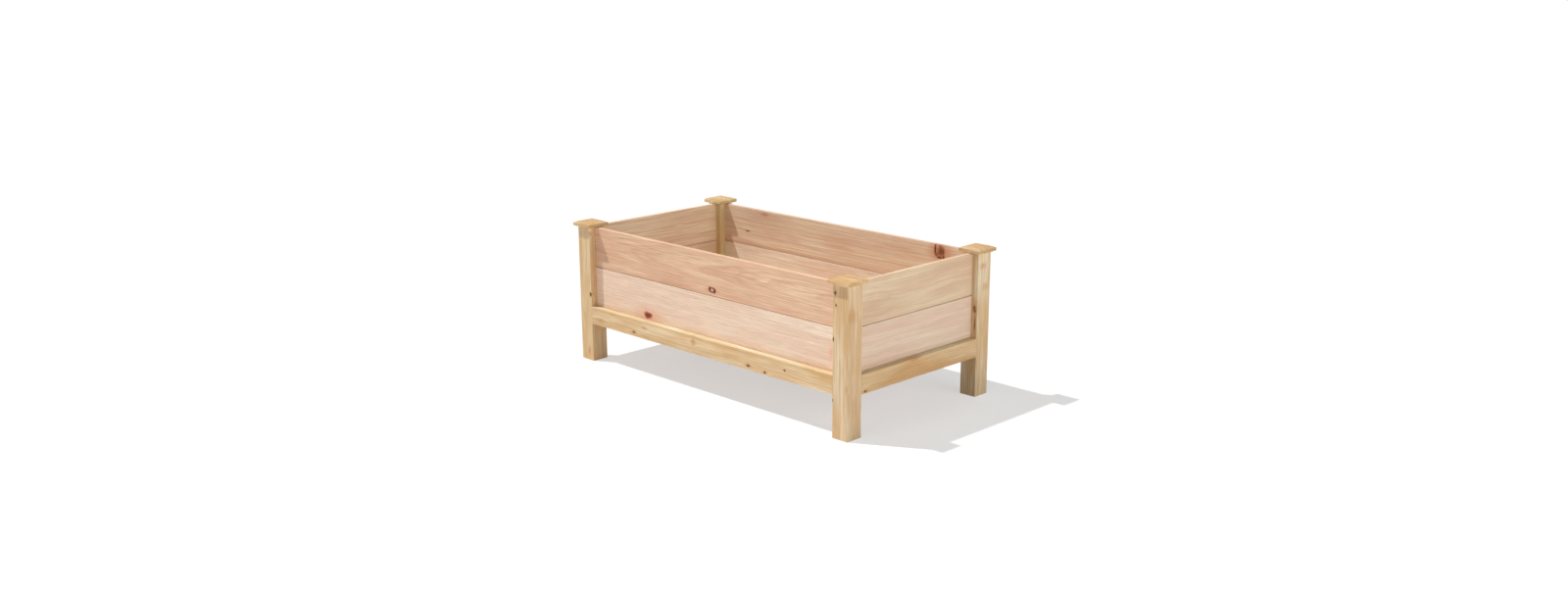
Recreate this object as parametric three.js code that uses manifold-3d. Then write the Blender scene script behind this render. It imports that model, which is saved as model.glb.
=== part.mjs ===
// Raised garden bed of cedar on four short legs. Rails and two courses of boards slide down
// stopped dovetail grooves in the legs, chamfered caps close the grooves, and a slatted floor
// lies on two cleats. Millimetres, +Z up, the origin on the ground at the middle of the bed.
// +X runs along the long side. Front is -Y, rear +Y, left -X and right +X.
import * as THREE from 'three';
import { mergeVertices } from 'three/addons/utils/BufferGeometryUtils.js';
import Module from 'manifold-3d';

const wasm = await Module();
wasm.setup();

// Driving dimensions
const LENGTH = 1300; // over the legs, along X
const WIDTH = 690; // over the legs, along Y
const GAP = 0.35; // between pieces that meet

const POST_SIDE = 63.5;
const POST_TOP = 488;
const POST_EASE = 2; // radius of the long arrises
const POST_END_EASE = 1.5; // chamfer round the foot and the top

const RAIL_BOTTOM = 138; // clear height under the bed
const RAIL_HEIGHT = 63.5;
const RAIL_DEPTH = 38.1;
const RAIL_EASE = 2;

const BOARD_THICK = 15.9;
const BOARD_TOP = 486.2;
const BOARD_EASE = 1;
const RAIL_JOINT = 0.8; // left open between the lower course and its rail: boards stand on their tongues
const COURSE_JOINT = 2; // and between the two courses

const DOVETAIL_WIDE = 12.7; // across the end of the tongue
const DOVETAIL_DEEP = 12.7;
const DOVETAIL_SLOPE = THREE.MathUtils.degToRad(10);
const DOVETAIL_STOP = 12.7; // middle of the groove's round end, above the rail's underside

const CAP_SIDE = 88.9;
const CAP_EDGE = 11; // height of the upright edge
const CAP_THICK = 16.9;
const CAP_CHAMFER = 14.6; // width of the sloping margin round the flat top
const CAP_EASE = 2.5;
const CAP_END_EASE = 1;
const DOWEL_RADIUS = 4.75;
const DOWEL_IN_POST = 30;
const DOWEL_IN_CAP = 10;

const CLEAT_THICK = 25;
const CLEAT_HEIGHT = 38.1;
const CLEAT_LIFT = 3; // above the rail's underside
const CLEAT_SCREWS = 4; // to each cleat

const SLAT_COUNT = 8;
const SLAT_WIDE = 147;
const SLAT_THICK = 15.9;
const FLOOR_GAP = 1; // round the edge of the floor

const SCREW_RADIUS = 2.1;
const SCREW_HEAD_RADIUS = 4.3;
const SCREW_HEAD_HEIGHT = 2.7;
const SCREW_HEAD_RIM = 0.3;
const SCREW_POINT = 6;
const SCREW_FACETS = 12;
const DRIVE_SIDE = 2.8; // the square recess in a screw's head
const DRIVE_DEEP = 2.2;
const CLEAT_SCREW_LENGTH = 50;
const SLAT_SCREW_LENGTH = 38;

// Worked out from them
const RAIL_TOP = RAIL_BOTTOM + RAIL_HEIGHT;
const BOARD_HEIGHT = (BOARD_TOP - RAIL_TOP - RAIL_JOINT - COURSE_JOINT) / 2;
const LONG_SPAN = LENGTH - 2 * POST_SIDE - 2 * GAP; // between the shoulders of a long piece
const SHORT_SPAN = WIDTH - 2 * POST_SIDE - 2 * GAP;
const CLEAT_TOP = RAIL_BOTTOM + CLEAT_LIFT + CLEAT_HEIGHT;
const CLEAT_MIDDLE = CLEAT_TOP - CLEAT_HEIGHT / 2;
const CLEAT_INNER_FACE = RAIL_DEPTH + GAP + CLEAT_THICK; // in from the outer face of the side
const SLAT_BOTTOM = CLEAT_TOP + GAP;
const SLAT_TOP = SLAT_BOTTOM + SLAT_THICK;
const SLAT_SCREW_Y = CLEAT_INNER_FACE - CLEAT_THICK / 2;
const FLOOR_LENGTH = LENGTH - 2 * RAIL_DEPTH - 2 * FLOOR_GAP;
const FLOOR_WIDTH = WIDTH - 2 * RAIL_DEPTH - 2 * FLOOR_GAP;
const SLAT_PITCH = (FLOOR_LENGTH - SLAT_WIDE) / (SLAT_COUNT - 1);
const QUARTER_TURN = Math.PI / 2;

// Timber and metal
const timber = (color, roughness) => new THREE.MeshStandardMaterial({ color, roughness, metalness: 0 });
const PINK_CEDAR = timber(0xdcb898, 0.78);
const PALE_CEDAR = timber(0xebcfb4, 0.78);
const FRAME_CEDAR = timber(0xd8bd91, 0.75);
const CAP_CEDAR = timber(0xe2bf8e, 0.72);
const FLOOR_CEDAR = timber(0xc9a581, 0.85);
const BEECH = timber(0xd9c3a0, 0.7);
const COURSES = [
  { course: 'lower', material: PALE_CEDAR, joint: RAIL_JOINT },
  { course: 'upper', material: PINK_CEDAR, joint: COURSE_JOINT },
];
const ZINC = new THREE.MeshStandardMaterial({ color: 0x9b9a92, roughness: 0.45, metalness: 0.9 });

const bed = new THREE.Group();

// ---- Solids -----------------------------------------------------------------------------------

// A closed geometry as a solid that can be joined and cut.
function solidOf(geometry) {
  const bare = geometry.index ? geometry.toNonIndexed() : geometry.clone();
  bare.deleteAttribute('normal');
  bare.deleteAttribute('uv');
  const merged = mergeVertices(bare, 1e-4);
  const mesh = new wasm.Mesh({
    numProp: 3,
    vertProperties: merged.attributes.position.array,
    triVerts: new Uint32Array(merged.index.array),
  });
  return new wasm.Manifold(mesh);
}

function geometryOf(solid) {
  const mesh = solid.getMesh();
  const geometry = new THREE.BufferGeometry();
  geometry.setAttribute('position', new THREE.BufferAttribute(mesh.vertProperties, 3));
  geometry.setIndex(new THREE.BufferAttribute(mesh.triVerts, 1));
  geometry.computeVertexNormals();
  return geometry;
}

// Adds one named piece to the bed or to a group in it.
function place(parent, name, geometry, material, [x, y, z] = [0, 0, 0]) {
  const mesh = new THREE.Mesh(geometry, material);
  mesh.name = name;
  mesh.position.set(x, y, z);
  parent.add(mesh);
}

// The middles of a row of things at an even step, about 0.
const rowOf = (count, step) => Array.from({ length: count }, (_, i) => (i - (count - 1) / 2) * step);

const outline = (points) => new THREE.Shape(points.map(([x, y]) => new THREE.Vector2(x, y)));

// A rectangle in the middle of the plane, with its corners rounded.
function roundedRectangle(width, height, radius) {
  const x = width / 2 - radius;
  const y = height / 2 - radius;
  const shape = new THREE.Shape();
  const corners = [[x, y], [-x, y], [-x, -y], [x, -y]];
  corners.forEach(([cx, cy], i) => {
    shape.absarc(cx, cy, radius, i * QUARTER_TURN, (i + 1) * QUARTER_TURN);
  });
  return shape;
}

// A plan outline raised from z = 0 to the height, with the edges of both ends chamfered.
function raised(shape, height, ease = 0) {
  const geometry = new THREE.ExtrudeGeometry(shape, {
    depth: height - 2 * ease,
    bevelEnabled: ease > 0,
    bevelThickness: ease,
    bevelSize: ease,
    bevelOffset: -ease,
    bevelSegments: 1,
    curveSegments: 3,
  });
  return geometry.translate(0, 0, ease);
}

// A cross-section in Y and Z carried along X, about the origin.
function alongX(section, length) {
  const bar = raised(section, length).translate(0, 0, -length / 2);
  return bar.rotateX(QUARTER_TURN).rotateZ(QUARTER_TURN);
}

// ---- Sliding dovetail -------------------------------------------------------------------------

// Half the width of the tongue at a distance from its shoulder.
const tongueHalf = (out) => DOVETAIL_WIDE / 2 - (DOVETAIL_DEEP - out) * Math.tan(DOVETAIL_SLOPE);

// The tongue points along +X from a shoulder at x = 0, and its root lies inside the piece.
function dovetailTongue(height) {
  const root = 4;
  const neck = tongueHalf(0);
  const end = tongueHalf(DOVETAIL_DEEP);
  const lower = [[-root, -neck], [0, -neck], [DOVETAIL_DEEP, -end]];
  const upper = [[DOVETAIL_DEEP, end], [0, neck], [-root, neck]];
  return solidOf(raised(outline([...lower, ...upper]), height));
}

// The groove that takes it, cut into a face at x = 0 towards -X, from the round end at z = 0 up.
function dovetailGroove(height) {
  const overrun = 1; // out past the face
  const depth = DOVETAIL_DEEP + GAP;
  const side = GAP / Math.cos(DOVETAIL_SLOPE);
  const mouth = tongueHalf(GAP - overrun) + side;
  const bottom = tongueHalf(GAP + depth) + side;
  const plan = [[overrun, -mouth], [overrun, mouth], [-depth, bottom], [-depth, -bottom]];
  const slot = solidOf(raised(outline(plan), height));
  const cutter = new THREE.CylinderGeometry(mouth, bottom, depth + overrun, 24);
  cutter.rotateZ(-QUARTER_TURN).translate((overrun - depth) / 2, 0, 0);
  return slot.add(solidOf(cutter));
}

// A rail or board along X with a tongue at each end. Its outer face is y = 0, its underside z = 0,
// and tongueY is the middle of the dovetail. The tongues start at tongueFrom: above the underside
// where the groove is stopped, and below it where the piece stands on them.
function slidingPiece({ span, thick, height, ease, tongueY, tongueFrom }) {
  const body = alongX(roundedRectangle(thick, height, ease), span).translate(0, thick / 2, height / 2);
  const right = dovetailTongue(height - tongueFrom).translate([span / 2, tongueY, tongueFrom]);
  return solidOf(body).add(right).add(right.mirror([1, 0, 0]));
}

// ---- Screws and dowels ------------------------------------------------------------------------

// A countersunk screw pointing down from its head at z = 0. With a clearance and a top above 0 it
// is the space that the screw needs.
function screwForm(length, clearance, top) {
  const shank = SCREW_RADIUS + clearance;
  const head = SCREW_HEAD_RADIUS + clearance;
  const tip = -length - clearance;
  const profile = [[0, tip], [shank, tip + SCREW_POINT], [shank, -SCREW_HEAD_HEIGHT]];
  profile.push([head, -SCREW_HEAD_RIM], [head, top], [0, top]);
  const points = profile.map(([r, z]) => new THREE.Vector2(r, z));
  return solidOf(new THREE.LatheGeometry(points, SCREW_FACETS).rotateX(QUARTER_TURN));
}

function screw(length) {
  const drive = new THREE.BoxGeometry(DRIVE_SIDE, DRIVE_SIDE, 2 * DRIVE_DEEP);
  return geometryOf(screwForm(length, 0, 0).subtract(solidOf(drive)));
}

// Its hole, which runs out past the surface that the head is sunk into.
const screwHole = (length) => screwForm(length, GAP, 1);

// A cylinder standing on z = 0.
function pin(radius, length) {
  const cylinder = new THREE.CylinderGeometry(radius, radius, length, 16);
  return cylinder.rotateX(QUARTER_TURN).translate(0, 0, length / 2);
}

// ---- Legs and caps ----------------------------------------------------------------------------

// A leg about its own middle, with a groove in its +X face and one in its +Y face.
function post() {
  const grooveEnd = RAIL_BOTTOM + DOVETAIL_STOP;
  const groove = dovetailGroove(POST_TOP).translate([POST_SIDE / 2, 0, grooveEnd]);
  const socket = solidOf(pin(DOWEL_RADIUS + GAP, DOWEL_IN_POST + 1));
  return solidOf(raised(roundedRectangle(POST_SIDE, POST_SIDE, POST_EASE), POST_TOP, POST_END_EASE))
    .subtract(groove)
    .subtract(groove.rotate([0, 0, 90]))
    .subtract(socket.translate([0, 0, POST_TOP - DOWEL_IN_POST]));
}

// A square cap whose top slopes down to its edge on all four sides.
function postCap() {
  const blank = solidOf(raised(roundedRectangle(CAP_SIDE, CAP_SIDE, CAP_EASE), CAP_THICK, CAP_END_EASE));
  const flat = CAP_SIDE / 2 - CAP_CHAMFER;
  const spread = flat + (CAP_CHAMFER * CAP_THICK) / (CAP_THICK - CAP_EDGE);
  const slopes = new THREE.CylinderGeometry(flat * Math.SQRT2, spread * Math.SQRT2, CAP_THICK, 4);
  slopes.rotateX(QUARTER_TURN).rotateZ(QUARTER_TURN / 2).translate(0, 0, CAP_THICK / 2);
  const socket = solidOf(pin(DOWEL_RADIUS + GAP, DOWEL_IN_CAP + 1)).translate([0, 0, -1]);
  return blank.intersect(solidOf(slopes)).subtract(socket);
}

// The four corners, each turned so that its grooves face along the two sides that meet there.
const CORNERS = [
  { name: 'front_left', x: -1, y: -1, turn: 0 },
  { name: 'front_right', x: 1, y: -1, turn: 1 },
  { name: 'rear_right', x: 1, y: 1, turn: 2 },
  { name: 'rear_left', x: -1, y: 1, turn: 3 },
];

function addCorners() {
  const legGeometry = geometryOf(post());
  const capGeometry = geometryOf(postCap());
  const dowelGeometry = pin(DOWEL_RADIUS, DOWEL_IN_POST + DOWEL_IN_CAP - GAP);
  for (const { name, x, y, turn } of CORNERS) {
    const corner = new THREE.Group();
    corner.position.set((x * (LENGTH - POST_SIDE)) / 2, (y * (WIDTH - POST_SIDE)) / 2, 0);
    corner.rotation.z = turn * QUARTER_TURN;
    bed.add(corner);
    place(corner, `post_${name}`, legGeometry, FRAME_CEDAR);
    place(corner, `cap_${name}`, capGeometry, CAP_CEDAR, [0, 0, POST_TOP + GAP]);
    place(corner, `cap_dowel_${name}`, dowelGeometry, BEECH, [0, 0, POST_TOP - DOWEL_IN_POST + GAP]);
  }
}

// ---- Sides ------------------------------------------------------------------------------------

const SIDES = [
  { name: 'front', turn: 0, reach: WIDTH / 2, isLong: true },
  { name: 'right', turn: 1, reach: LENGTH / 2, isLong: false },
  { name: 'rear', turn: 2, reach: WIDTH / 2, isLong: true },
  { name: 'left', turn: 3, reach: LENGTH / 2, isLong: false },
];

// A group turned to a side of the bed: x runs along the side, and its outer face is y = 0.
function sideFrame({ turn, reach }) {
  const frame = new THREE.Group();
  frame.rotation.z = turn * QUARTER_TURN;
  frame.translateY(-reach);
  bed.add(frame);
  return frame;
}

const board = (span, joint) =>
  slidingPiece({
    span,
    thick: BOARD_THICK,
    height: BOARD_HEIGHT,
    ease: BOARD_EASE,
    tongueY: BOARD_THICK / 2,
    tongueFrom: GAP - joint,
  });

const rail = (span) =>
  slidingPiece({
    span,
    thick: RAIL_DEPTH,
    height: RAIL_HEIGHT,
    ease: RAIL_EASE,
    tongueY: POST_SIDE / 2,
    tongueFrom: DOVETAIL_STOP + GAP,
  });

// The screws of a cleat stand under the gaps between slats.
const cleatScrewPlaces = rowOf(CLEAT_SCREWS, 2 * SLAT_PITCH);

// The hole of one of them in the side's frame, going in from the inner face of the cleat.
function cleatScrewHole(x) {
  const hole = screwHole(CLEAT_SCREW_LENGTH).rotate([-90, 0, 0]);
  return hole.translate([x, CLEAT_INNER_FACE, CLEAT_MIDDLE]);
}

function boredRail() {
  const holes = cleatScrewPlaces.map((x) => cleatScrewHole(x).translate([0, 0, -RAIL_BOTTOM]));
  return holes.reduce((piece, hole) => piece.subtract(hole), rail(LONG_SPAN));
}

function addSide(frame, { name, isLong }) {
  const railSolid = isLong ? boredRail() : rail(SHORT_SPAN);
  place(frame, `rail_${name}`, geometryOf(railSolid), FRAME_CEDAR, [0, 0, RAIL_BOTTOM]);
  const setBack = (POST_SIDE - BOARD_THICK) / 2;
  COURSES.forEach(({ course, material, joint }, i) => {
    const boardGeometry = geometryOf(board(isLong ? LONG_SPAN : SHORT_SPAN, joint));
    const z = RAIL_TOP + RAIL_JOINT + i * (BOARD_HEIGHT + COURSE_JOINT);
    place(frame, `board_${name}_${course}`, boardGeometry, material, [0, setBack, z]);
  });
}

// ---- Floor ------------------------------------------------------------------------------------

const slatPlaces = rowOf(SLAT_COUNT, SLAT_PITCH);

// A cleat in its side's frame, bored for its own screws and for those of the slats.
function cleat() {
  const section = roundedRectangle(CLEAT_THICK, CLEAT_HEIGHT, RAIL_EASE);
  const bar = alongX(section, LONG_SPAN).translate(0, CLEAT_INNER_FACE - CLEAT_THICK / 2, CLEAT_MIDDLE);
  const slatHole = screwHole(SLAT_SCREW_LENGTH).translate([0, SLAT_SCREW_Y, SLAT_TOP]);
  const holes = slatPlaces.map((x) => slatHole.translate([x, 0, 0]));
  holes.push(...cleatScrewPlaces.map(cleatScrewHole));
  return holes.reduce((piece, hole) => piece.subtract(hole), solidOf(bar));
}

function addCleat(frame, { name }) {
  const cleatScrew = screw(CLEAT_SCREW_LENGTH).rotateX(-QUARTER_TURN);
  const slatScrew = screw(SLAT_SCREW_LENGTH);
  place(frame, `cleat_${name}`, geometryOf(cleat()), FLOOR_CEDAR);
  cleatScrewPlaces.forEach((x, i) => {
    place(frame, `cleat_screw_${name}_${i + 1}`, cleatScrew, ZINC, [x, CLEAT_INNER_FACE, CLEAT_MIDDLE]);
  });
  slatPlaces.forEach((x, i) => {
    place(frame, `slat_screw_${name}_${i + 1}`, slatScrew, ZINC, [x, SLAT_SCREW_Y, SLAT_TOP]);
  });
}

// One slat about the middle of its underside. An end slat is notched round the two legs beside it.
function slat(x) {
  const legSide = POST_SIDE + 2 * FLOOR_GAP;
  const leg = solidOf(new THREE.BoxGeometry(legSide, legSide, 4 * SLAT_THICK));
  const edge = SLAT_WIDE / 2;
  const end = FLOOR_WIDTH / 2;
  const plan = outline([[-edge, -end], [edge, -end], [edge, end], [-edge, end]]);
  let piece = solidOf(raised(plan, SLAT_THICK, BOARD_EASE));
  for (const corner of CORNERS) {
    const legX = (corner.x * (LENGTH - POST_SIDE)) / 2 - x;
    piece = piece.subtract(leg.translate([legX, (corner.y * (WIDTH - POST_SIDE)) / 2, 0]));
  }
  const screwY = WIDTH / 2 - SLAT_SCREW_Y;
  const hole = screwHole(SLAT_SCREW_LENGTH).translate([0, screwY, SLAT_THICK]);
  return piece.subtract(hole).subtract(hole.translate([0, -2 * screwY, 0]));
}

function addSlats() {
  slatPlaces.forEach((x, i) => {
    place(bed, `slat_${i + 1}`, geometryOf(slat(x)), FLOOR_CEDAR, [x, 0, SLAT_BOTTOM]);
  });
}

addCorners();
for (const side of SIDES) {
  const frame = sideFrame(side);
  addSide(frame, side);
  if (side.isLong) addCleat(frame, side);
}
addSlats();

export default bed;
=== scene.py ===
# Raised garden bed in cedar: finishes for its timber and screws, a plain floor, soft light and a camera.
# Patterns are worked out in millimetres on each piece's own axes, with x along the grain.
from math import radians

import bpy
import numpy as np
from mathutils import Euler, Matrix, Vector


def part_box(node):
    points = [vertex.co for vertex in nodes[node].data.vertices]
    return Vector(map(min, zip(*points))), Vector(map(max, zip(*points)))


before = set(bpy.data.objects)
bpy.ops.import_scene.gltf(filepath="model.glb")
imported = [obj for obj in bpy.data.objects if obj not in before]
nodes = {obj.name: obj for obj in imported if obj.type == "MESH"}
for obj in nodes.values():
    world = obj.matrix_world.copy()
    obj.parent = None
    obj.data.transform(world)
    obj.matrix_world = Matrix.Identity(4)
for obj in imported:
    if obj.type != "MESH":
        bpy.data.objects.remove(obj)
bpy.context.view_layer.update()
scene = bpy.context.scene
print("frame:", len(nodes), "pieces")


# Colours are written as 0 to 255 and used as light.
def paint(red, green, blue):
    shades = np.array([red, green, blue]) / 255
    linear = np.where(shades <= 0.04045, shades / 12.92, ((shades + 0.055) / 1.055) ** 2.4)
    return (*linear.tolist(), 1.0)


# Adds a node to a shader tree: an input that is a socket is linked, and any other is a value.
def addNode(tree, kind, inputs=None, **settings):
    node = tree.nodes.new("ShaderNode" + kind)
    for name, value in settings.items():
        setattr(node, name, value)
    for name, value in (inputs or {}).items():
        if isinstance(value, bpy.types.NodeSocket):
            tree.links.new(value, node.inputs[name])
        else:
            node.inputs[name].default_value = value
    count = len(tree.nodes)
    node.location = (200 * (count % 10), -260 * (count // 10))
    return node


def calc(tree, operation, a, b=0.0, c=0.0):
    return addNode(tree, "Math", {0: a, 1: b, 2: c}, operation=operation).outputs[0]


def vectorCalc(tree, operation, a, b=(0, 0, 0)):
    made = addNode(tree, "VectorMath", {0: a, 1: b}, operation=operation)
    return made.outputs["Value" if operation in ("LENGTH", "DOT_PRODUCT") else "Vector"]


# A value carried from one range to another along an S curve.
def ease(tree, value, low, high, start=0.0, end=1.0):
    given = {"Value": value, "From Min": low, "From Max": high, "To Min": start, "To Max": end}
    return addNode(tree, "MapRange", given, interpolation_type="SMOOTHSTEP").outputs[0]


# A value that goes from low to high as the share goes from 0 to 1.
def between(tree, share, low, high):
    return addNode(tree, "MapRange", {"Value": share, "To Min": low, "To Max": high}).outputs[0]


def blend(tree, amount, a, b, mode="MIX"):
    made = addNode(tree, "Mix", {0: amount, 6: a, 7: b}, data_type="RGBA", blend_type=mode)
    return made.outputs[2]


# Noise with lumps of the given length, breadth and depth in millimetres.
def lumps(tree, vector, size, detail=2.0):
    scaled = vectorCalc(tree, "MULTIPLY", vector, tuple(1 / s for s in size))
    return addNode(tree, "TexNoise", {"Vector": scaled, "Scale": 1.0, "Detail": detail})


def newGroup(name, inputs, outputs):
    tree = bpy.data.node_groups.new(name, "ShaderNodeTree")
    for title, kind, value in inputs:
        socket = tree.interface.new_socket(title, in_out="INPUT", socket_type="NodeSocket" + kind)
        if value is not None:
            socket.default_value = value
    for title, kind in outputs:
        tree.interface.new_socket(title, in_out="OUTPUT", socket_type="NodeSocket" + kind)
    given = tree.nodes.new("NodeGroupInput").outputs
    result = tree.nodes.new("NodeGroupOutput").inputs
    return tree, given, result


def useGroup(tree, group, inputs):
    return addNode(tree, "Group", inputs, node_tree=group).outputs


def newMaterial(name):
    material = bpy.data.materials.new(name)
    material.use_nodes = True
    tree = material.node_tree
    return material, tree, tree.nodes["Principled BSDF"]


# A spot on a piece in millimetres, along axes that start at the centre and have the given turn.
def pieceSpot(tree, where, centre=(0, 0, 0), turn=(0, 0, 0)):
    given = {"Vector": where.outputs["Object"], "Location": centre, "Rotation": turn,
             "Scale": (0.001, 0.001, 0.001)}
    return addNode(tree, "Mapping", given, vector_type="TEXTURE").outputs[0]


# Gives a CAD piece its material.
def dress(name, material):
    nodes[name].material_slots[0].material = material


def addToScene(name, data):
    placed = bpy.data.objects.new(name, data)
    scene.collection.objects.link(placed)
    return placed


# Grain. Sizes are along, across and into a piece, in millimetres. Late wood starts, is full and fades at
# these shares of a year. A From pair is the noise at which a mask starts and is full.
grainShape = {"sway": (420, 110, 110), "ripple": (95, 15, 15), "rippleReach": (0, 2.4, 2.4),
              "lateStart": 0.3, "lateFull": 0.85, "lateFade": 0.88,
              "ringPace": 0.37, "ringShift": 1.6, "palestYear": 0.2,
              "bandAlong": 460, "bandAcross": 7.5, "bandFrom": (0.3, 0.7),
              "streak": (150, 3.6, 3.6), "streakFrom": (0.44, 0.72),
              "drift": (260, 60, 60), "driftFrom": (0.34, 0.66),
              "fibre": (60, 1.1, 1.1), "pore": (16, 0.5, 0.5), "poreFrom": (0.62, 0.76),
              "seedSteps": (733.0, 97.0, 53.0), "ringSeed": 11.3, "bandSeed": 3.7}


# Growth rings are tubes round the pith line, which wanders and leans. A ring's number is the distance
# from that line over the ring width. Its late wood darkens slowly and ends at once, more in some years.
def makeGrain():
    tree, given, result = newGroup(
        "timberGrain",
        [("Vector", "Vector", None), ("Pith", "Vector", (0, -80, 0)), ("Lean", "Vector", (0, 0, 0)),
         ("Ring Width", "Float", 3.5), ("Wander", "Float", 6.0), ("Seed", "Float", 0.0)],
        [("Ring", "Float"), ("Band", "Float"), ("Streak", "Float"), ("Fibre", "Float"),
         ("Drift", "Float"), ("Pore", "Float")],
    )
    spot = given["Vector"]
    seedStep = {side: calc(tree, "MULTIPLY", given["Seed"], step)
                for side, step in zip("XYZ", grainShape["seedSteps"])}
    seedStep = addNode(tree, "CombineXYZ", seedStep).outputs[0]
    seeded = vectorCalc(tree, "ADD", spot, seedStep)
    middle = (0.5, 0.5, 0.5)
    sway = lumps(tree, seeded, grainShape["sway"]).outputs["Color"]
    sway = vectorCalc(tree, "SUBTRACT", sway, middle)
    reach = calc(tree, "MULTIPLY", given["Wander"], 2.0)
    across = addNode(tree, "CombineXYZ", {"Y": reach, "Z": reach}).outputs[0]
    ripple = lumps(tree, seeded, grainShape["ripple"]).outputs["Color"]
    ripple = vectorCalc(tree, "SUBTRACT", ripple, middle)
    ripple = vectorCalc(tree, "MULTIPLY", ripple, grainShape["rippleReach"])
    bent = vectorCalc(tree, "ADD", spot, vectorCalc(tree, "MULTIPLY", sway, across))
    bent = vectorCalc(tree, "ADD", bent, ripple)
    along = addNode(tree, "SeparateXYZ", {0: spot}).outputs["X"]
    lean = addNode(tree, "VectorMath", {0: given["Lean"], "Scale": along}, operation="SCALE").outputs[0]
    axis = vectorCalc(tree, "ADD", given["Pith"], lean)
    out = vectorCalc(tree, "MULTIPLY", vectorCalc(tree, "SUBTRACT", bent, axis), (0, 1, 1))
    distance = vectorCalc(tree, "LENGTH", out)
    count = calc(tree, "DIVIDE", distance, given["Ring Width"])
    uneven = calc(tree, "MULTIPLY", count, grainShape["ringPace"])
    uneven = calc(tree, "MULTIPLY_ADD", given["Seed"], grainShape["ringSeed"], uneven)
    uneven = addNode(tree, "TexNoise", {"W": uneven, "Scale": 1.0, "Detail": 1.0}, noise_dimensions="1D")
    count = calc(tree, "MULTIPLY_ADD", uneven.outputs[0], grainShape["ringShift"], count)
    part = calc(tree, "FRACT", count)
    year = addNode(tree, "TexWhiteNoise", {"W": calc(tree, "FLOOR", count)}, noise_dimensions="1D")
    darkens = ease(tree, part, grainShape["lateStart"], grainShape["lateFull"])
    late = calc(tree, "MULTIPLY", darkens, ease(tree, part, grainShape["lateFade"], 1.0, 1.0, 0.0))
    palest = grainShape["palestYear"]
    darkness = calc(tree, "MULTIPLY_ADD", year.outputs[0], 1 - palest, palest)
    ring = calc(tree, "MULTIPLY", late, darkness)
    tree.links.new(ring, result["Ring"])
    # broad bands of colour follow the rings and fade along the length
    bandSpot = {"X": calc(tree, "MULTIPLY", along, 1 / grainShape["bandAlong"]),
                "Y": calc(tree, "MULTIPLY", distance, 1 / grainShape["bandAcross"]),
                "Z": calc(tree, "MULTIPLY", given["Seed"], grainShape["bandSeed"])}
    bandSpot = addNode(tree, "CombineXYZ", bandSpot).outputs[0]
    bandNoise = {"Vector": bandSpot, "Scale": 1.0, "Detail": 2.5, "Roughness": 0.55}
    band = addNode(tree, "TexNoise", bandNoise)
    tree.links.new(ease(tree, band.outputs[0], *grainShape["bandFrom"]), result["Band"])
    seededBent = vectorCalc(tree, "ADD", bent, seedStep)
    streak = lumps(tree, seededBent, grainShape["streak"], 2.0).outputs[0]
    tree.links.new(ease(tree, streak, *grainShape["streakFrom"]), result["Streak"])
    tree.links.new(lumps(tree, seededBent, grainShape["fibre"], 3.0).outputs[0], result["Fibre"])
    drift = lumps(tree, seeded, grainShape["drift"], 2.0).outputs[0]
    tree.links.new(ease(tree, drift, *grainShape["driftFrom"]), result["Drift"])
    dashes = lumps(tree, seededBent, grainShape["pore"], 1.0).outputs[0]
    tree.links.new(ease(tree, dashes, *grainShape["poreFrom"]), result["Pore"])
    return tree


# Ranges of a knot's masks, in shares of its size, and the noise range and strength of its heart's clouds
knotShape = {"lump": (1.1, 1.1, 1.1), "core": (0.15, 1.55), "cloud": (0.25, 0.75, 0.7, 1.15),
             "rimRadius": 0.9, "rimWidth": 0.62, "breakWidth": 0.22, "drawnOut": (0.6, 1, 1),
             "halo": (0.4, 2.1), "pull": (0.2, 2.8)}


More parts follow.
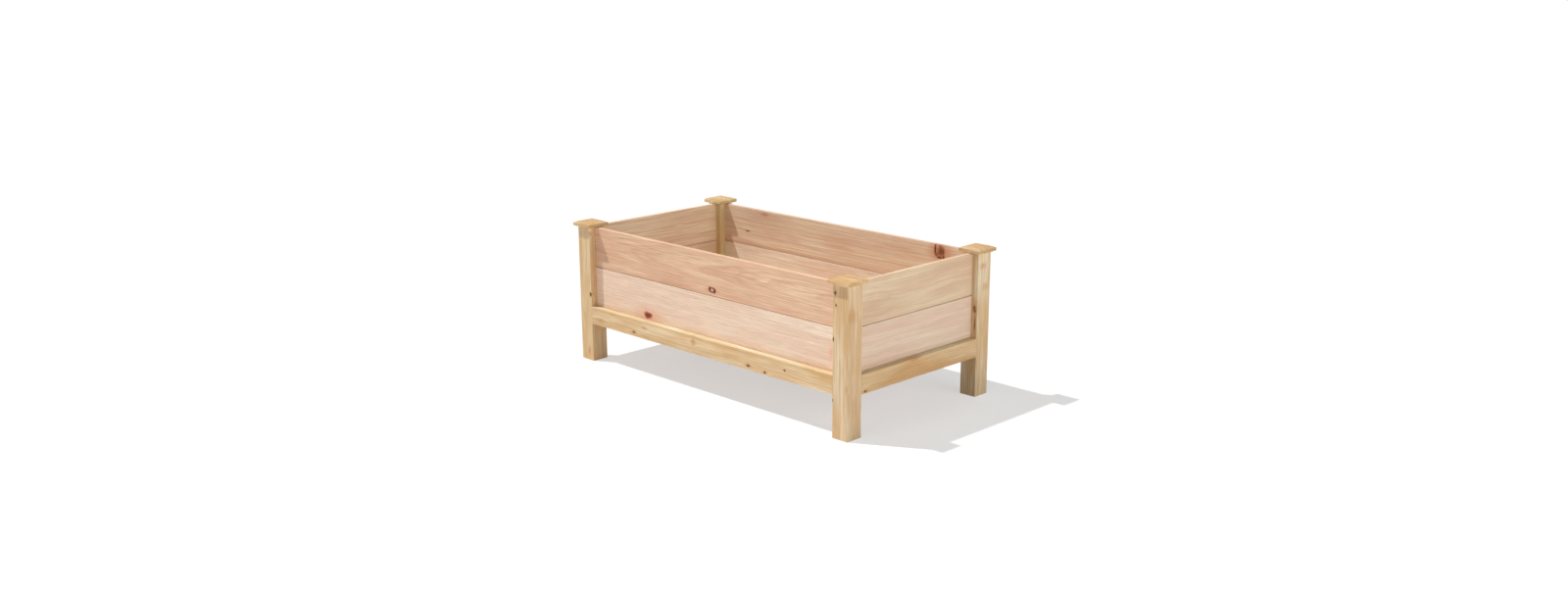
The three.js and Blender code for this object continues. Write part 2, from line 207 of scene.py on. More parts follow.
# A knot is a lumpy ellipsoid with a rim of bark and a reddish halo drawn out along the grain. Open breaks
# its rim into parts. Round it the grain is pulled in towards its middle, so that the rings pass on both
# sides. Its masks are added to those of the knots before it.
def makeKnot():
    tree, given, result = newGroup(
        "knot",
        [("Vector", "Vector", None), ("Core", "Float", 0.0), ("Rim", "Float", 0.0),
         ("Halo", "Float", 0.0), ("Place", "Vector", None), ("Size", "Vector", (10, 10, 10)),
         ("Core Depth", "Float", 1.0), ("Rim Depth", "Float", 1.0), ("Halo Depth", "Float", 1.0),
         ("Open", "Float", 0.3), ("Lumpy", "Float", 0.6), ("Pull", "Float", 0.6)],
        [("Vector", "Vector"), ("Core", "Float"), ("Rim", "Float"), ("Halo", "Float")],
    )
    offset = vectorCalc(tree, "SUBTRACT", given["Vector"], given["Place"])
    share = vectorCalc(tree, "DIVIDE", offset, given["Size"])
    ownSpot = vectorCalc(tree, "ADD", share, given["Place"])
    lump = lumps(tree, ownSpot, knotShape["lump"], 4.0)
    shape, gap, cloud = addNode(tree, "SeparateXYZ", {0: lump.outputs["Color"]}).outputs
    lumpy = calc(tree, "SUBTRACT", shape, 0.5)
    radius = calc(tree, "MULTIPLY_ADD", lumpy, given["Lumpy"], vectorCalc(tree, "LENGTH", share))
    core = calc(tree, "MULTIPLY", ease(tree, radius, *knotShape["core"], 1.0, 0.0), given["Core Depth"])
    core = calc(tree, "MULTIPLY", core, ease(tree, cloud, *knotShape["cloud"]))
    rimEdge = calc(tree, "ABSOLUTE", calc(tree, "SUBTRACT", radius, knotShape["rimRadius"]))
    whole = ease(tree, calc(tree, "SUBTRACT", gap, given["Open"]), 0.0, knotShape["breakWidth"])
    rim = ease(tree, rimEdge, 0.0, knotShape["rimWidth"], 1.0, 0.0)
    rim = calc(tree, "MULTIPLY", calc(tree, "MULTIPLY", rim, given["Rim Depth"]), whole)
    drawn = vectorCalc(tree, "LENGTH", vectorCalc(tree, "MULTIPLY", share, knotShape["drawnOut"]))
    haze = calc(tree, "MULTIPLY_ADD", lumpy, 1.0, drawn)
    halo = calc(tree, "MULTIPLY", ease(tree, haze, *knotShape["halo"], 1.0, 0.0), given["Halo Depth"])
    for name, mask in (("Core", core), ("Rim", rim), ("Halo", halo)):
        tree.links.new(calc(tree, "MAXIMUM", given[name], mask), result[name])
    near = calc(tree, "MULTIPLY", ease(tree, drawn, *knotShape["pull"], 1.0, 0.0), given["Pull"])
    aside = vectorCalc(tree, "MULTIPLY", offset, (0, 1, 1))
    shift = addNode(tree, "VectorMath", {0: aside, "Scale": near}, operation="SCALE").outputs[0]
    tree.links.new(vectorCalc(tree, "SUBTRACT", given["Vector"], shift), result["Vector"])
    return tree


# Wear along an arris: the size of its chips, how their noise is stretched and moved to give a width, and
# the fade past that width, in millimetres
arrisWear = {"chips": (26, 5, 5), "stretch": 2.2, "move": -0.35, "fade": (-1.0, 0.8)}


# How near a spot is to an arris of the piece's box: on a face one of the three distances to the sides
# is nothing, and the middle one is the distance to the nearest arris.
def makeArris():
    tree, given, result = newGroup(
        "arris", [("Vector", "Vector", None), ("Half Size", "Vector", None), ("Width", "Float", 3.0)],
        [("Edge", "Float")],
    )
    inside = vectorCalc(tree, "ABSOLUTE", given["Vector"])
    inside = vectorCalc(tree, "SUBTRACT", given["Half Size"], inside)
    x, y, z = addNode(tree, "SeparateXYZ", {0: inside}).outputs
    least = calc(tree, "MINIMUM", x, calc(tree, "MINIMUM", y, z))
    most = calc(tree, "MAXIMUM", x, calc(tree, "MAXIMUM", y, z))
    total = calc(tree, "ADD", x, calc(tree, "ADD", y, z))
    middle = calc(tree, "SUBTRACT", total, calc(tree, "ADD", least, most))
    chips = lumps(tree, given["Vector"], arrisWear["chips"], 3.0).outputs[0]
    uneven = calc(tree, "MULTIPLY_ADD", chips, arrisWear["stretch"], arrisWear["move"])
    past = calc(tree, "SUBTRACT", middle, calc(tree, "MULTIPLY", given["Width"], uneven))
    tree.links.new(ease(tree, past, *arrisWear["fade"], 1.0, 0.0), result["Edge"])
    return tree


# What each mask adds to a planed surface's shade, roughness and height, and the surface's gloss. A From
# pair holds the values at which a mask starts and is full.
planed = {"poreShade": -0.1, "edgeShade": 0.06, "endShade": -0.07,
          "stainFrom": (0.1, 0.85), "heartFrom": (0.4, 1.05), "barkFrom": (0.35, 1.0),
          "endFrom": (0.6, 0.95), "facingFrom": (0.3, 0.9),
          "rough": 0.56, "fibreRough": 0.16, "ringRough": -0.06, "coreRough": -0.16, "endRough": 0.14,
          "fibreHeight": 0.8, "ringHeight": 0.55, "poreHeight": -0.7, "rimHeight": -0.8,
          "bump": {"Strength": 0.4, "Distance": 0.0005}, "specular": 0.3}


# Puts the masks together into the colour, roughness and height of a planed surface.
def makeTimber():
    tree, given, result = newGroup(
        "timberFinish",
        [("Ring", "Float", 0.0), ("Band", "Float", 0.5), ("Streak", "Float", 0.0),
         ("Fibre", "Float", 0.5), ("Drift", "Float", 0.5), ("Pore", "Float", 0.0),
         ("Core", "Float", 0.0), ("Rim", "Float", 0.0), ("Halo", "Float", 0.0), ("Edge", "Float", 0.0),
         ("Along Grain", "Float", 0.0), ("Facing", "Float", 0.0), ("Early", "Color", None),
         ("Late", "Color", None), ("Blush", "Color", None), ("Red", "Color", None),
         ("Stain", "Color", None), ("Heart", "Color", None), ("Bark", "Color", None),
         ("Ring Depth", "Float", 0.6), ("Band Depth", "Float", 0.5), ("Streak Depth", "Float", 0.3),
         ("Drift Depth", "Float", 0.4), ("Fibre Depth", "Float", 0.4),
         ("Painted Side Light", "Color", (1, 1, 1, 1))],
        [("Color", "Color"), ("Roughness", "Float"), ("Height", "Float")],
    )
    colour = given["Early"]
    for mask, shade in (("Drift", "Blush"), ("Band", "Late"), ("Ring", "Late"), ("Streak", "Red")):
        amount = calc(tree, "MULTIPLY", given[mask], given[mask + " Depth"])
        colour = blend(tree, amount, colour, given[shade])
    shade = calc(tree, "MULTIPLY_ADD", given["Fibre Depth"], -0.5, 1.0)
    shade = calc(tree, "MULTIPLY_ADD", given["Fibre"], given["Fibre Depth"], shade)
    endCut = ease(tree, calc(tree, "ABSOLUTE", given["Along Grain"]), *planed["endFrom"])
    shadeMasks = {"poreShade": given["Pore"], "edgeShade": given["Edge"], "endShade": endCut}
    for depth, mask in shadeMasks.items():
        shade = calc(tree, "MULTIPLY", shade, calc(tree, "MULTIPLY_ADD", mask, planed[depth], 1.0))
    shadeColour = addNode(tree, "CombineXYZ", {"X": shade, "Y": shade, "Z": shade}).outputs[0]
    colour = blend(tree, 1.0, colour, shadeColour, "MULTIPLY")
    colour = blend(tree, given["Halo"], colour, given["Red"])
    stained = ease(tree, calc(tree, "MAXIMUM", given["Core"], given["Rim"]), *planed["stainFrom"])
    colour = blend(tree, stained, colour, given["Stain"])
    colour = blend(tree, ease(tree, given["Core"], *planed["heartFrom"]), colour, given["Heart"])
    colour = blend(tree, ease(tree, given["Rim"], *planed["barkFrom"]), colour, given["Bark"])
    # Painted light and shade: faces that look to the given side have their colour scaled by the side
    # light
    facing = ease(tree, given["Facing"], *planed["facingFrom"])
    paintedSideLight = blend(tree, facing, (1, 1, 1, 1), given["Painted Side Light"])
    colour = blend(tree, 1.0, colour, paintedSideLight, "MULTIPLY")
    tree.links.new(colour, result["Color"])
    rough = calc(tree, "MULTIPLY_ADD", given["Fibre"], planed["fibreRough"], planed["rough"])
    rough = calc(tree, "MULTIPLY_ADD", given["Ring"], planed["ringRough"], rough)
    rough = calc(tree, "MULTIPLY_ADD", given["Core"], planed["coreRough"], rough)
    rough = calc(tree, "MULTIPLY_ADD", endCut, planed["endRough"], rough)
    tree.links.new(rough, result["Roughness"])
    height = calc(tree, "MULTIPLY", given["Fibre"], planed["fibreHeight"])
    height = calc(tree, "MULTIPLY_ADD", given["Ring"], planed["ringHeight"], height)
    height = calc(tree, "MULTIPLY_ADD", given["Pore"], planed["poreHeight"], height)
    height = calc(tree, "MULTIPLY_ADD", given["Rim"], planed["rimHeight"], height)
    tree.links.new(height, result["Height"])
    return tree


grainGroup = makeGrain()
knotGroup = makeKnot()
arrisGroup = makeArris()
timberGroup = makeTimber()
print("shader groups made")

# Kinds of knot: how dark its heart, its rim and the wood round it are, how broken its rim and how uneven
# its outline is, and how far it bends the grain
knotInputs = ("Core Depth", "Rim Depth", "Halo Depth", "Open", "Lumpy", "Pull")
knotKinds = {
    "dark": (0.95, 0.6, 0.45, 0.3, 0.6, 0.6),
    "red": (0.85, 0.25, 0.7, 0.4, 0.6, 0.6),
    "eye": (0.1, 0.82, 0.4, 0.18, 0.5, 0.6),
    "pin": (1.0, 0.8, 0.4, 0.1, 0.3, 0.4),
    "faint": (0.35, 0.25, 0.5, 0.4, 0.8, 0.6),
    "flame": (0.0, 0.0, 0.0, 0.5, 0.5, 0.6),
    "blush": (0.0, 0.0, 0.6, 0.5, 0.8, 0.2),
    "stain": (0.0, 0.0, 0.5, 0.5, 0.8, 0.0),
    "bar": (1.0, 0.0, 0.4, 0.5, 0.9, 0.0),
    "band": (0.75, 0.0, 0.7, 0.5, 1.1, 0.0),
}

# Woods: early and late wood, a blush that drifts along the piece, red streaks, and for a knot the stain
# at its edge, its heart and its bark
woods = {
    "pinkCedar": {"Early": (242, 208, 180), "Late": (206, 154, 124), "Blush": (226, 176, 150),
                  "Red": (198, 122, 90), "Stain": (158, 84, 50), "Heart": (92, 32, 16),
                  "Bark": (62, 20, 10)},
    "paleCedar": {"Early": (249, 226, 204), "Late": (222, 180, 148), "Blush": (244, 208, 188),
                  "Red": (230, 168, 138), "Stain": (186, 104, 76), "Heart": (128, 52, 34),
                  "Bark": (96, 40, 28)},
    "frameCedar": {"Early": (240, 218, 178), "Late": (202, 162, 112), "Blush": (222, 180, 126),
                   "Red": (198, 140, 86), "Stain": (164, 108, 58), "Heart": (92, 52, 24),
                   "Bark": (62, 34, 18)},
    "capCedar": {"Early": (240, 208, 158), "Late": (200, 150, 96), "Blush": (226, 180, 124),
                 "Red": (190, 132, 80), "Stain": (160, 104, 56), "Heart": (110, 66, 34),
                 "Bark": (76, 44, 24)},
    "floorCedar": {"Early": (240, 210, 178), "Late": (206, 162, 124), "Blush": (230, 192, 160),
                   "Red": (196, 138, 104), "Stain": (158, 94, 62), "Heart": (96, 50, 32),
                   "Bark": (66, 34, 22)},
    "beech": {"Early": (230, 204, 170), "Late": (196, 160, 122), "Blush": (222, 190, 156),
              "Red": (190, 150, 116), "Stain": (168, 126, 90), "Heart": (130, 96, 66),
              "Bark": (96, 70, 50)},
}

# Turns that lay a piece's own x axis along its grain
grainTurns = {
    "X": Euler((0, 0, 0)),
    "Y": Euler((0, 0, radians(90))),
    "Z": Euler((0, radians(-90), 0)),
}


# A piece's own axes: the middle of its box, its turn, and half its size along those axes, in millimetres.
def pieceAxes(name, grain):
    low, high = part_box(name)
    turn = grainTurns[grain].to_matrix()
    half = turn.inverted() @ ((high - low) * 500)
    return (low + high) / 2, turn, Vector(map(abs, half))


# What holds where a timber's own look says nothing else. Tone scales the wood's red, green and blue, and
# the side light does so on faces that look to its side, as painted light or shade there. Pith, lean,
# ring, wander and wear are in millimetres, lean for each one along the grain. The depths say how strong a
# pattern is.
plainLook = {"tone": (1, 1, 1), "paintedSide": (0, 0, 1), "paintedSideLight": (1, 1, 1), "lean": (0.0, 0.0),
             "wander": 6.0, "wear": 1.6, "ringDepth": 0.6, "bandDepth": 0.4, "streakDepth": 0.3,
             "driftDepth": 0.6, "fibreDepth": 0.4, "knots": []}


# One timber: its knots are (x, y, z, along, across, deep, kind), placed in the bed's millimetres.
def timberMaterial(name, grain, wood, look):
    look = {**plainLook, **look}
    centre, turn, half = pieceAxes(name, grain)
    material, tree, shader = newMaterial(name)
    where = addNode(tree, "TexCoord")
    spot = pieceSpot(tree, where, centre, grainTurns[grain])
    masks = {"Vector": spot}
    for x, y, z, along, across, deep, kind in look["knots"]:
        place = turn.inverted() @ (Vector((x, y, z)) - centre * 1000)
        size = Vector((along, deep, across))
        knot = dict(zip(knotInputs, knotKinds[kind]))
        out = useGroup(tree, knotGroup, {**masks, "Place": place, "Size": size, **knot})
        masks = {key: out[key] for key in ("Vector", "Core", "Rim", "Halo")}
    pithAcross, pithUp = look["pith"]
    leanAcross, leanUp = look["lean"]
    grainMasks = useGroup(tree, grainGroup, {
        "Vector": masks["Vector"], "Pith": (0, pithAcross, pithUp), "Lean": (0, leanAcross, leanUp),
        "Ring Width": look["ring"], "Wander": look["wander"], "Seed": float(look["seed"])})
    edge = useGroup(tree, arrisGroup, {"Vector": spot, "Half Size": half, "Width": look["wear"]})
    alongGrain = vectorCalc(tree, "DOT_PRODUCT", where.outputs["Normal"], turn.col[0])
    facing = vectorCalc(tree, "DOT_PRODUCT", where.outputs["Normal"], look["paintedSide"])
    tone = np.array([*look["tone"], 1])
    tints = {key: (paint(*shade) * tone).tolist() for key, shade in woods[wood].items()}
    finish = useGroup(tree, timberGroup, {
        **{key: grainMasks[key] for key in ("Ring", "Band", "Streak", "Fibre", "Drift", "Pore")},
        **{key: masks[key] for key in ("Core", "Rim", "Halo") if key in masks},
        **tints, "Edge": edge["Edge"], "Along Grain": alongGrain, "Facing": facing,
        "Ring Depth": look["ringDepth"], "Band Depth": look["bandDepth"],
        "Streak Depth": look["streakDepth"], "Drift Depth": look["driftDepth"],
        "Fibre Depth": look["fibreDepth"], "Painted Side Light": (*look["paintedSideLight"], 1)})
    tree.links.new(finish["Color"], shader.inputs["Base Color"])
    tree.links.new(finish["Roughness"], shader.inputs["Roughness"])
    bump = addNode(tree, "Bump", {**planed["bump"], "Height": finish["Height"]})
    tree.links.new(bump.outputs[0], shader.inputs["Normal"])
    shader.inputs["Specular IOR Level"].default_value = planed["specular"]
    dress(name, material)


# Boards. The front ones and the rear upper one carry the knots that show most.
boards = {
    "board_front_upper": {"grain": "X", "wood": "pinkCedar", "seed": 1, "pith": (92, 16),
                          "lean": (-0.02, 0.0), "ring": 3.1, "wander": 5.0, "ringDepth": 0.5,
                          "streakDepth": 0.35, "fibreDepth": 0.6, "tone": (1.01, 1.01, 0.94),
                          "paintedSideLight": (1.04, 1.22, 1.32),
                          "knots": [(25.2, -321.3, 364.7, 15, 7.5, 30, "eye"),
                                    (13, -321.3, 367, 5, 5.5, 20, "bar"),
                                    (36, -321.3, 363.2, 5.5, 5, 20, "bar"),
                                    (240, -321.3, 444, 150, 20, 60, "flame"),
                                    (560, -321.3, 396, 60, 14, 40, "flame")]},
    "board_front_lower": {"grain": "X", "wood": "paleCedar", "seed": 2, "pith": (70, 96), "ring": 4.2,
                          "ringDepth": 0.85, "streakDepth": 0.15, "fibreDepth": 0.7,
                          "tone": (1.02, 1.04, 1.03), "paintedSideLight": (1.04, 1.22, 1.32),
                          "knots": [(-300, -321.3, 221, 30, 16, 30, "blush"),
                                    (-290, -321.3, 213, 18, 6, 20, "stain"),
                                    (-305, -321.3, 218.5, 22, 12, 25, "bar"),
                                    (571.0, -321.3, 262.0, 10, 17, 30, "blush")]},
    "board_right_upper": {"grain": "Y", "wood": "pinkCedar", "seed": 3, "pith": (120, -30), "ring": 3.6,
                          "tone": (0.95, 1.09, 1.03), "ringDepth": 0.3, "streakDepth": 0.15,
                          "paintedSideLight": (1.04, 1.18, 1.28)},
    "board_right_lower": {"grain": "Y", "wood": "paleCedar", "seed": 4, "pith": (80, 60), "ring": 4.0,
                          "tone": (0.92, 0.94, 0.92), "ringDepth": 0.4, "streakDepth": 0.15,
                          "paintedSideLight": (1.08, 1.3, 1.4)},
    "board_rear_upper": {"grain": "X", "wood": "pinkCedar", "seed": 5, "pith": (40, 230), "ring": 8.6,
                         "ringDepth": 0.8, "wander": 4.0, "streakDepth": 0.35,
                         "paintedSideLight": (1.0, 1.2, 1.25),
                         "knots": [(470, 306.3, 463, 20, 27, 40, "band"),
                                   (448, 306.3, 469, 5, 24, 20, "bar"),
                                   (456, 306.3, 449, 4, 12, 20, "bar"),
                                   (467, 306.3, 442.5, 13, 4.5, 20, "bar"),
                                   (484, 306.3, 446, 5, 8, 20, "bar"),
                                   (483, 306.3, 462, 6, 22, 20, "band"),
                                   (-368, 306.3, 474, 9, 6, 30, "faint"),
                                   (-460, 306.3, 398, 10, 2, 30, "pin"),
                                   (-250, 306.3, 351, 330, 2.5, 30, "stain")]},
    "board_rear_lower": {"grain": "X", "wood": "pinkCedar", "seed": 6, "pith": (-90, -60), "ring": 4.4,
                         "paintedSideLight": (1.11, 1.44, 1.62),
                         "knots": [(212, 322, 262, 12, 10, 8, "red"),
                                   (-418, 322, 290, 8, 7, 8, "dark")]},
    "board_left_upper": {"grain": "Y", "wood": "pinkCedar", "seed": 7, "pith": (-80, 40), "ring": 4.0,
                         "paintedSideLight": (1.08, 1.36, 1.42), "knots": [(-626, 96, 430, 10, 8, 8, "red")]},
    "board_left_lower": {"grain": "Y", "wood": "pinkCedar", "seed": 8, "pith": (-100, -30), "ring": 4.0,
                         "paintedSideLight": (1.08, 1.36, 1.42)},
}
# Painted light on the inner faces, which lie in shade, and on the top edges of those at the back: their
# colour is made paler and less red
paintedSides = {"front": (0, 1, 0), "right": (-1, 0, 0), "rear": (0, -1, 0.8), "left": (1, 0, 0.8)}
for name, look in boards.items():
    look = {"paintedSide": paintedSides[name.split("_")[1]], **look}
    timberMaterial(name, look["grain"], look["wood"], look)

# Rails below the boards
rails = {
    "rail_front": {"grain": "X", "wood": "frameCedar", "seed": 11, "pith": (60, -40), "ring": 3.4,
                   "tone": (1.03, 1.03, 1.05),
                   "knots": [(-540.5, -345, 160.5, 11, 6, 25, "faint"),
                             (-354.5, -345, 153.4, 8, 4.5, 20, "dark"),
                             (-300.0, -345, 178.0, 7, 4, 20, "faint"),
                             (-46.7, -345, 179.5, 6, 13, 20, "faint"),
                             (217.0, -345, 153.3, 9, 5, 20, "dark"),
                             (293.7, -345, 146.6, 5, 3.5, 15, "pin"),
                             (382.0, -345, 171.9, 4, 3, 15, "pin")]},
    "rail_right": {"grain": "Y", "wood": "frameCedar", "seed": 12, "pith": (50, 60), "ring": 3.0,
                   "tone": (0.95, 0.9, 0.84),
                   "knots": [(650, -30.7, 200, 14, 6, 20, "faint"),
                             (650, -263.8, 145.4, 6, 4, 15, "dark")]},
    "rail_rear": {"grain": "X", "wood": "frameCedar", "seed": 13, "pith": (-70, 30), "ring": 3.2,
                  "knots": [(310, 345, 168, 9, 7, 25, "dark"), (-150, 345, 186, 6, 5, 20, "pin"),
                            (-455, 345, 152, 10, 7, 25, "faint")]},
    "rail_left": {"grain": "Y", "wood": "frameCedar", "seed": 14, "pith": (-60, -50), "ring": 3.4,
                  "knots": [(-650, 120, 172, 9, 7, 25, "dark")]},
}
# The rails' top faces get painted light, which makes them less orange
for name, look in rails.items():
    look = {"fibreDepth": 0.6, "driftDepth": 0.9, "paintedSideLight": (0.93, 1.1, 1.3), **look}
    timberMaterial(name, look["grain"], look["wood"], look)

# Legs, with upright grain
legs = {
    "post_front_left": {"seed": 21, "pith": (60, 30), "ring": 3.2, "tone": (1.04, 1.05, 1.05),
                        "knots": [(-588, -345, 466.6, 4, 3.4, 12, "faint"),
                                  (-591.8, -345, 245.8, 7, 4.5, 20, "pin"),
                                  (-608.1, -345, 34.5, 8, 6, 20, "faint")]},
    "post_front_right": {"seed": 22, "pith": (-20, 85), "ring": 3.4, "tone": (1.02, 1.06, 1.16),
                         "knots": [(597.6, -345, 460.3, 6, 4.5, 20, "dark"),
                                   (600.3, -345, 422.3, 4, 2.5, 15, "pin"),
                                   (590.0, -345, 315.2, 6, 3, 15, "pin"),
                                   (645.0, -345, 166.1, 6, 4, 15, "faint"),
                                   (588.2, -345, 121.6, 4, 2.5, 15, "pin"),
                                   (650, -325, 394.1, 9, 2.5, 14, "stain")]},
    # Painted light on its face that looks to the front, which lies in shade
    "post_rear_right": {"seed": 23, "pith": (70, 50), "ring": 3.2, "tone": (1.01, 1.09, 1.22),
                        "paintedSide": (0, -1, 0), "paintedSideLight": (1.03, 1.1, 1.15),
                        "knots": [(638.4, 281.5, 301, 16, 9, 12, "band"),
                                  (637, 281.5, 306, 5, 4, 10, "bar"),
                                  (641, 281.5, 293, 5, 3.5, 10, "bar"),
                                  (640, 281.5, 252, 34, 5, 10, "band"),
                                  (650, 305.4, 443.5, 5, 6, 12, "faint"),
                                  (650, 318, 372, 6, 2.5, 12, "stain")]},
    # Painted light on the faces that look into the bed, which lie in shade
    "post_rear_left": {"seed": 24, "pith": (-50, -70), "ring": 3.4, "tone": (0.98, 1.02, 1.04),
                       "paintedSide": (1, -0.6, 0), "paintedSideLight": (1.1, 1.38, 1.52),
                       "knots": [(-616, 345, 330, 9, 7, 14, "dark"), (-650, 322, 120, 7, 5, 14, "pin")]},
}
for name, look in legs.items():
    look = {"streakDepth": 0.5, "ringDepth": 0.75, "driftDepth": 0.95, "fibreDepth": 0.7, **look}
    timberMaterial(name, "Z", "frameCedar", look)

# Caps on the legs, a warmer and yellower cut of the same wood. Their tops, where the sun falls, are
# darkened as painted shade, and most on the front right one.
caps = {
    "cap_front_left": {"seed": 31, "pith": (30, -60), "tone": (0.95, 1.08, 1.16)},
    "cap_front_right": {"seed": 32, "pith": (-24, -75), "tone": (1.02, 1.08, 1.16),
                        "paintedSideLight": (0.83, 0.78, 0.71)},
    "cap_rear_right": {"seed": 33, "pith": (44, -50), "tone": (0.9, 1.0, 1.1)},
    "cap_rear_left": {"seed": 34, "pith": (-36, -66), "tone": (0.97, 1.15, 1.3)},
}
for name, look in caps.items():
    look = {"ring": 3.0, "wear": 2.4, "ringDepth": 0.9, "streakDepth": 0.7, "driftDepth": 0.9,
            "fibreDepth": 0.9, "paintedSideLight": (0.95, 0.9, 0.86), **look}
    timberMaterial(name, "X", "capCedar", look)

# Floor slats with knots by chance, the cleats they lie on, and the dowels of the caps. Pairs of numbers
# in floorWood are ranges to draw from, in millimetres.
floorWood = {"wood": "floorCedar", "chanceSeed": 400, "knotsPerSlat": 2, "knotRadius": (4.0, 11.0),
             "knotBreadth": 0.75, "knotDeep": 40, "knotKinds": ["dark", "red", "faint"], "slatSeed": 41,
             "pithAcross": (-90, 90), "pithUp": (-120, -40), "slatRing": (3.2, 4.4)}
cleats = {"cleat_front": {"seed": 51, "pith": (40, -50), "ring": 3.4},
          "cleat_rear": {"seed": 52, "pith": (40, -50), "ring": 3.4}}
capDowels = {"seed": 61, "pith": (14, 22), "ring": 1.8, "wear": 0.4}


# Knots of a slat, at places and in sizes and kinds drawn from the seed.
def chanceKnots(name, seed):
    low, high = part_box(name)
    count = floorWood["knotsPerSlat"]
    draw = np.random.RandomState(seed)
    places = np.array(low) * 1000 + draw.rand(count, 3) * (np.array(high) - np.array(low)) * 1000
    radii = draw.uniform(*floorWood["knotRadius"], count)
    kinds = draw.choice(floorWood["knotKinds"], count)
    return [(*place, radius, floorWood["knotBreadth"] * radius, floorWood["knotDeep"], str(kind))
            for place, radius, kind in zip(places.tolist(), radii.tolist(), kinds)]


slats = sorted(name for name in nodes if name.startswith("slat_") and "screw" not in name)
for i, name in enumerate(slats):
    seed = floorWood["chanceSeed"] + i
    draw = np.random.RandomState(seed)
    pith = (draw.uniform(*floorWood["pithAcross"]), draw.uniform(*floorWood["pithUp"]))
    look = {"seed": floorWood["slatSeed"] + i, "pith": pith,
            "ring": draw.uniform(*floorWood["slatRing"]), "knots": chanceKnots(name, seed)}
    timberMaterial(name, "Y", floorWood["wood"], look)
for name, look in cleats.items():
    timberMaterial(name, "X", floorWood["wood"], look)
for i, name in enumerate(sorted(name for name in nodes if name.startswith("cap_dowel"))):
    timberMaterial(name, "Z", "beech", {**capDowels, "seed": capDowels["seed"] + i})
print("timber finished")

# Zinc plated screws
zinc = {"pale": (206, 208, 206), "dull": (158, 160, 160), "dullFrom": (0.35, 0.65),
        "roughness": (0.28, 0.5), "roughFrom": (0.3, 0.7),
        "cloud": (2.2, 2.2, 2.2), "scuff": (0.5, 0.5, 6.0), "scuffShare": 0.4,
        "bump": {"Strength": 0.25, "Distance": 0.0001}}


def zincMaterial():
    material, tree, shader = newMaterial("zinc")
    spot = pieceSpot(tree, addNode(tree, "TexCoord"))
    cloud = lumps(tree, spot, zinc["cloud"], 3.0).outputs[0]
    scuff = lumps(tree, spot, zinc["scuff"], 2.0).outputs[0]
    worn = calc(tree, "MULTIPLY", cloud, 1 - zinc["scuffShare"])
    worn = calc(tree, "MULTIPLY_ADD", scuff, zinc["scuffShare"], worn)
    dulled = ease(tree, worn, *zinc["dullFrom"])
    colour = blend(tree, dulled, paint(*zinc["pale"]), paint(*zinc["dull"]))
    tree.links.new(colour, shader.inputs["Base Color"])
    rough = ease(tree, worn, *zinc["roughFrom"], *zinc["roughness"])
    tree.links.new(rough, shader.inputs["Roughness"])
    bump = addNode(tree, "Bump", {**zinc["bump"], "Height": worn})
    tree.links.new(bump.outputs[0], shader.inputs["Normal"])
    shader.inputs["Metallic"].default_value = 1.0
    return material


screwFinish = zincMaterial()
screws = [name for name in nodes if "screw" in name]
for name in screws:
    dress(name, screwFinish)
print("screws finished:", len(screws))

# Cut edges: flat faces are joined up, every sharp arris is eased by these millimetres, and the shading is
# made even. Angles are in degrees and the welding distance in metres.
edges = {"board": 0.5, "rail": 0.7, "post": 0.7, "cap": 0.9, "cleat": 0.5, "slat": 0.5, "segments": 2,
         "smoothAngle": 38, "flatAngle": 0.6, "weld": 0.00001}


def newGeometryGroup(name):
    tree = bpy.data.node_groups.new(name, "GeometryNodeTree")
    tree.interface.new_socket("Geometry", in_out="INPUT", socket_type="NodeSocketGeometry")
    tree.interface.new_socket("Geometry", in_out="OUTPUT", socket_type="NodeSocketGeometry")
    return tree, tree.nodes.new("NodeGroupInput"), tree.nodes.new("NodeGroupOutput")


# Welds a piece's loose triangles and forgets the normals that came with them.
def makeWeld():
    tree, source, sink = newGeometryGroup("weld")
    merge = tree.nodes.new("GeometryNodeMergeByDistance")
    merge.inputs["Distance"].default_value = edges["weld"]
    normal = tree.nodes.new("GeometryNodeSetMeshNormal")
    normal.inputs["Remove Custom"].default_value = True
    smooth = tree.nodes.new("GeometryNodeSetShadeSmooth")
    tree.links.new(source.outputs[0], merge.inputs["Geometry"])
    tree.links.new(merge.outputs[0], normal.inputs["Mesh"])
    tree.links.new(normal.outputs[0], smooth.inputs["Geometry"])
    tree.links.new(smooth.outputs[0], sink.inputs[0])
    return tree


# Marks edges over an angle as sharp.
def makeSharp(angle):
    tree, source, sink = newGeometryGroup("sharpEdges")
    turned = tree.nodes.new("GeometryNodeInputMeshEdgeAngle")
    gentle = tree.nodes.new("FunctionNodeCompare")
    gentle.operation = "LESS_THAN"
    gentle.inputs[1].default_value = angle
    smooth = tree.nodes.new("GeometryNodeSetShadeSmooth")
    smooth.domain = "EDGE"
    tree.links.new(source.outputs[0], smooth.inputs["Geometry"])
    tree.links.new(turned.outputs[0], gentle.inputs[0])
    tree.links.new(gentle.outputs[0], smooth.inputs["Shade Smooth"])
    tree.links.new(smooth.outputs[0], sink.inputs[0])
    return tree


weldGroup = makeWeld()
sharpGroup = makeSharp(radians(edges["smoothAngle"]))


def easeEdges(piece, width):
    piece.modifiers.new("weld", "NODES").node_group = weldGroup
    if width:
        flat = piece.modifiers.new("joinFlats", "DECIMATE")
        flat.decimate_type = "DISSOLVE"
        flat.angle_limit = radians(edges["flatAngle"])
        bevel = piece.modifiers.new("ease", "BEVEL")
        bevel.width = width / 1000
        bevel.segments = edges["segments"]
        bevel.limit_method = "ANGLE"
        bevel.angle_limit = radians(edges["smoothAngle"])
    piece.modifiers.new("sharp", "NODES").node_group = sharpGroup
    even = piece.modifiers.new("even", "WEIGHTED_NORMAL")
    even.keep_sharp = True


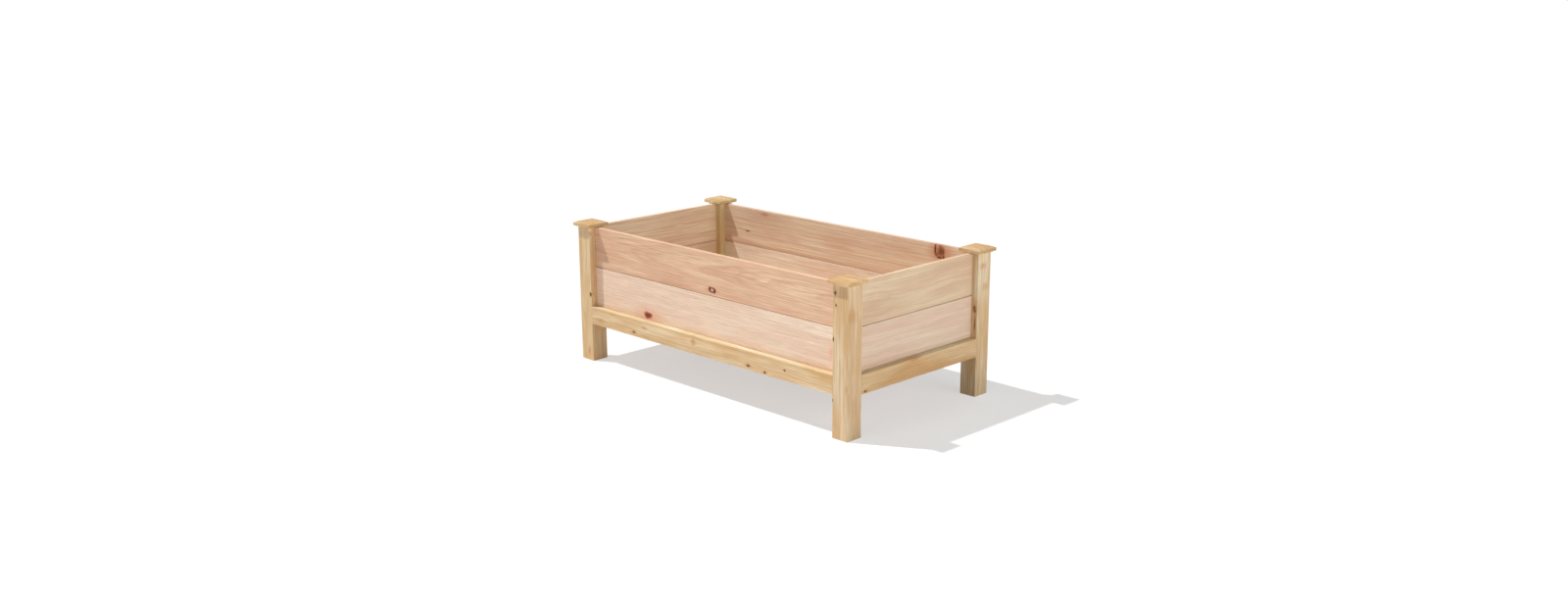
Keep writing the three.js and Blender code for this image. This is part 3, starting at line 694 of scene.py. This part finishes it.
for name, piece in nodes.items():
    kind = name.split("_")[0]
    isSmall = "screw" in name or "dowel" in name
    easeEdges(piece, 0 if isSmall else edges[kind])
print("edges eased")

# Camera where the picture was taken from, metres and degrees
camera = {"place": (3.587, -3.5588, 1.5629), "yaw": 44.9325, "down": 14.3347, "roll": -0.1314,
          "lens": 34.76, "sensor": 36, "clipEnd": 200}


def addCamera():
    data = bpy.data.cameras.new("camera")
    data.lens = camera["lens"]
    data.sensor_width = camera["sensor"]
    data.clip_end = camera["clipEnd"]
    eye = addToScene("camera", data)
    aim = Euler((radians(90 - camera["down"]), 0, radians(camera["yaw"]))).to_matrix().to_4x4()
    roll = Matrix.Rotation(radians(camera["roll"]), 4, "Z")
    eye.matrix_world = Matrix.Translation(camera["place"]) @ aim @ roll
    scene.camera = eye


# Light: a high sun from the front left, a weak even sky, and two wide lamps that stand low
light = {"sunAlong": (0.505, 0.296, -1.0), "sun": 3.15, "sunAngle": 1.2, "sky": 0.18,
         "lampSize": (4.0, 3.0), "aim": (0.0, 0.0, 0.3),
         "lamps": {"rightLamp": {"place": (5.6, 0.6, 1.9), "power": 105.0},
                   "frontLamp": {"place": (1.4, -5.6, 2.8), "power": 36.0}}}


def addLights():
    sun = bpy.data.lights.new("sun", "SUN")
    sun.energy = light["sun"]
    sun.angle = radians(light["sunAngle"])
    sunLamp = addToScene("sun", sun)
    sunLamp.rotation_euler = Vector(light["sunAlong"]).to_track_quat("-Z", "Y").to_euler()
    for name, lamp in light["lamps"].items():
        data = bpy.data.lights.new(name, "AREA")
        data.shape = "RECTANGLE"
        data.size, data.size_y = light["lampSize"]
        data.energy = lamp["power"]
        panel = addToScene(name, data)
        panel.location = lamp["place"]
        toBed = Vector(light["aim"]) - Vector(lamp["place"])
        panel.rotation_euler = toBed.to_track_quat("-Z", "Y").to_euler()


# 1 for rays that see the background itself, straight or in a gloss, and 0 for the light it gives.
def seenDirectly(tree):
    path = addNode(tree, "LightPath")
    gloss = calc(tree, "MAXIMUM", path.outputs["Is Glossy Ray"], path.outputs["Is Transmission Ray"])
    return calc(tree, "MAXIMUM", path.outputs["Is Camera Ray"], gloss)


def addSky():
    world = bpy.data.worlds.new("sky")
    scene.world = world
    world.use_nodes = True
    world.cycles.sampling_method = "NONE"
    tree = world.node_tree
    back = tree.nodes["Background"]
    back.inputs["Color"].default_value = (1, 1, 1, 1)
    strength = between(tree, seenDirectly(tree), light["sky"], 1.0)
    tree.links.new(strength, back.inputs["Strength"])


# White floor. The eye sees part of it as a glow, which keeps the bed's shadow pale, and from below
# it is clear.
floor = {"size": 60.0, "bounce": 0.8, "glow": 0.528, "lit": 0.46}


def addFloor():
    side = floor["size"] / 2
    mesh = bpy.data.meshes.new("floor")
    corners = [(-side, -side, 0), (side, -side, 0), (side, side, 0), (-side, side, 0)]
    mesh.from_pydata(corners, [], [(0, 1, 2, 3)])
    ground = addToScene("floor", mesh)
    material, tree, shader = newMaterial("floor")
    seen = seenDirectly(tree)
    shade = between(tree, seen, floor["bounce"], floor["lit"])
    colour = addNode(tree, "CombineXYZ", {"X": shade, "Y": shade, "Z": shade}).outputs[0]
    tree.links.new(colour, shader.inputs["Base Color"])
    shader.inputs["Roughness"].default_value = 1.0
    shader.inputs["Specular IOR Level"].default_value = 0.0
    shader.inputs["Emission Color"].default_value = (1, 1, 1, 1)
    tree.links.new(calc(tree, "MULTIPLY", seen, floor["glow"]), shader.inputs["Emission Strength"])
    clear = addNode(tree, "BsdfTransparent")
    below = addNode(tree, "NewGeometry").outputs["Backfacing"]
    both = addNode(tree, "MixShader", {0: below, 1: shader.outputs[0], 2: clear.outputs[0]})
    tree.links.new(both.outputs[0], tree.nodes["Material Output"].inputs["Surface"])
    mesh.materials.append(material)


addCamera()
addLights()
addSky()
addFloor()
scene.view_settings.view_transform = "Standard"
print("camera, light and floor placed")
